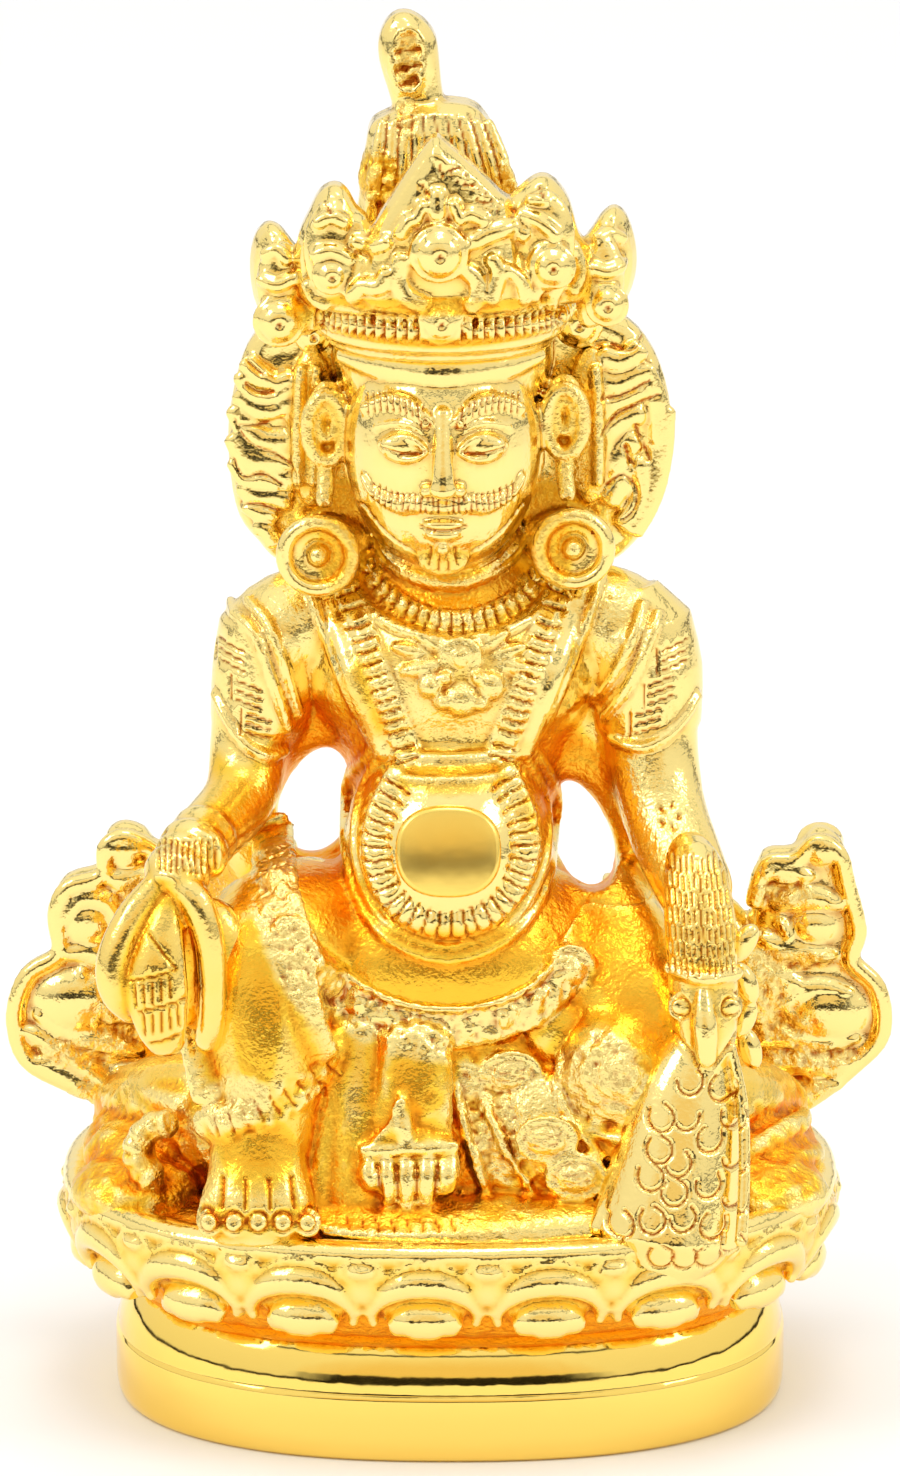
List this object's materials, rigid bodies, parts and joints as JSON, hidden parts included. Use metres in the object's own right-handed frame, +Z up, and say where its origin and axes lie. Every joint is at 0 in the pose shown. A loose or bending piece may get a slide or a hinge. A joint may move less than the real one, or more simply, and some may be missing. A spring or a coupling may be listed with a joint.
{
  "type": "seated deity statue",
  "caption": "Gold-plated brass statue of a crowned, seated Kubera with a mongoose, cast in one piece with its lotus throne and plain oval plinth; a decorative figure.",
  "frame": {"origin": "centre of the plinth's footprint box, on the plane of the flat underside", "axes": "+Z up, the figure faces -Y, the figure's own left hand is at +X"},
  "size_m": [0.0521, 0.0362, 0.0814],
  "materials": {
    "gold_plate": "polished gold plate, stippled in the recesses"
  },
  "bodies": {
    "root": {"kubera_statue": "gold_plate"}
  },
  "joints": []
}
